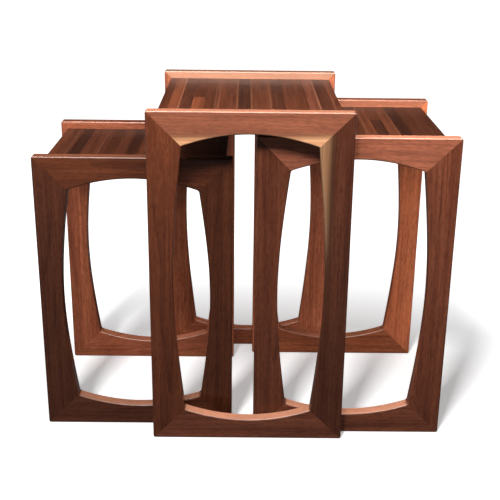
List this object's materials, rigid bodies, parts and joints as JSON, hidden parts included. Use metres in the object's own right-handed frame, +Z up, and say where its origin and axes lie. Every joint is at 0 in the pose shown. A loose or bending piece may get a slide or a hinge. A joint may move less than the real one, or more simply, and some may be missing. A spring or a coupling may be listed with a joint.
{
  "type": "nesting tables",
  "caption": "Walnut nesting side tables with mitred barrel-window frames and inset stave tops; the smaller tables slide sideways out from under the larger.",
  "frame": {"origin": "on the floor under the middle of the set's outline as it stands, with the smaller tables pulled out", "axes": "+X is the way the tables slide, towards the pulled-out medium table; +Z is up; the frames face -Y and +Y, and -Y is the front"},
  "size_m": [0.673, 0.384, 0.56],
  "materials": {
    "frame_walnut": "satin oiled walnut",
    "stave_walnut": "satin oiled walnut staves",
    "joinery_wood": "bare hardwood"
  },
  "bodies": {
    "large_table": {"large_front_bottom_rail": "frame_walnut", "large_front_right_leg": "frame_walnut", "large_front_top_rail": "frame_walnut", "large_front_left_leg": "frame_walnut", "large_front_bottom_left_tenon": "joinery_wood", "large_front_bottom_right_tenon": "joinery_wood", "large_front_top_right_tenon": "joinery_wood", "large_front_top_left_tenon": "joinery_wood", "large_front_panel_spline": "joinery_wood", "large_back_bottom_rail": "frame_walnut", "large_back_right_leg": "frame_walnut", "large_back_top_rail": "frame_walnut", "large_back_left_leg": "frame_walnut", "large_back_bottom_left_tenon": "joinery_wood", "large_back_bottom_right_tenon": "joinery_wood", "large_back_top_right_tenon": "joinery_wood", "large_back_top_left_tenon": "joinery_wood", "large_back_panel_spline": "joinery_wood", "large_top_panel": "stave_walnut"},
    "medium_table": {"medium_front_bottom_rail": "frame_walnut", "medium_front_right_leg": "frame_walnut", "medium_front_top_rail": "frame_walnut", "medium_front_left_leg": "frame_walnut", "medium_front_bottom_left_tenon": "joinery_wood", "medium_front_bottom_right_tenon": "joinery_wood", "medium_front_top_right_tenon": "joinery_wood", "medium_front_top_left_tenon": "joinery_wood", "medium_front_panel_spline": "joinery_wood", "medium_back_bottom_rail": "frame_walnut", "medium_back_right_leg": "frame_walnut", "medium_back_top_rail": "frame_walnut", "medium_back_left_leg": "frame_walnut", "medium_back_bottom_left_tenon": "joinery_wood", "medium_back_bottom_right_tenon": "joinery_wood", "medium_back_top_right_tenon": "joinery_wood", "medium_back_top_left_tenon": "joinery_wood", "medium_back_panel_spline": "joinery_wood", "medium_top_panel": "stave_walnut"},
    "small_table": {"small_front_bottom_rail": "frame_walnut", "small_front_right_leg": "frame_walnut", "small_front_top_rail": "frame_walnut", "small_front_left_leg": "frame_walnut", "small_front_bottom_left_tenon": "joinery_wood", "small_front_bottom_right_tenon": "joinery_wood", "small_front_top_right_tenon": "joinery_wood", "small_front_top_left_tenon": "joinery_wood", "small_front_panel_spline": "joinery_wood", "small_back_bottom_rail": "frame_walnut", "small_back_right_leg": "frame_walnut", "small_back_top_rail": "frame_walnut", "small_back_left_leg": "frame_walnut", "small_back_bottom_left_tenon": "joinery_wood", "small_back_bottom_right_tenon": "joinery_wood", "small_back_top_right_tenon": "joinery_wood", "small_back_top_left_tenon": "joinery_wood", "small_back_panel_spline": "joinery_wood", "small_top_panel": "stave_walnut"}
  },
  "joints": [
    {"name": "medium_slide", "type": "slide", "parent": "large_table", "child": "medium_table", "axis": [1, 0, 0], "range_m": [-0.508, 0.17]},
    {"name": "small_slide", "type": "slide", "parent": "large_table", "child": "small_table", "axis": [-1, 0, 0], "range_m": [-0.525, 0.153]}
  ]
}
